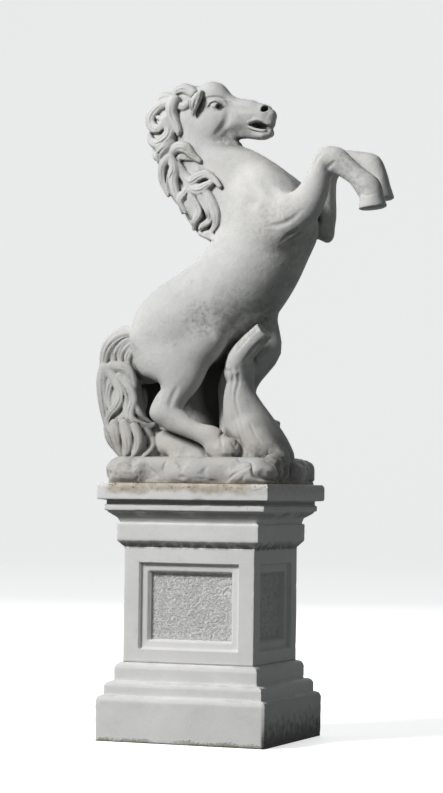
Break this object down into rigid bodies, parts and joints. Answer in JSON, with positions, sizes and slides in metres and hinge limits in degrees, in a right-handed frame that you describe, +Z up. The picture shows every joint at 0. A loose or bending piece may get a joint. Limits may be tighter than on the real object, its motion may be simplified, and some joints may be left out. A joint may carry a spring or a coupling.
{
  "type": "stone horse statue",
  "caption": "Rearing cast-stone horse held up by a tree trunk on a rock, standing on a moulded garden pedestal with sunk rough-cast panels.",
  "frame": {"origin": "centre of the pedestal's underside", "axes": "+Z up; the horse faces +X; its near side, which the picture shows, faces -Y"},
  "size_m": [0.9841, 0.506, 2.05],
  "materials": {
    "cast_stone": "matte cast stone, weathered grey-white with lichen, dirt and pinholes",
    "pedestal_stone": "matte cast stone, smooth with rough-cast panels, dark lichen in the joints"
  },
  "bodies": {
    "root": {"horse_on_rock": "cast_stone", "pedestal_cap": "pedestal_stone", "pedestal_die": "pedestal_stone", "pedestal_base": "pedestal_stone"}
  },
  "joints": []
}
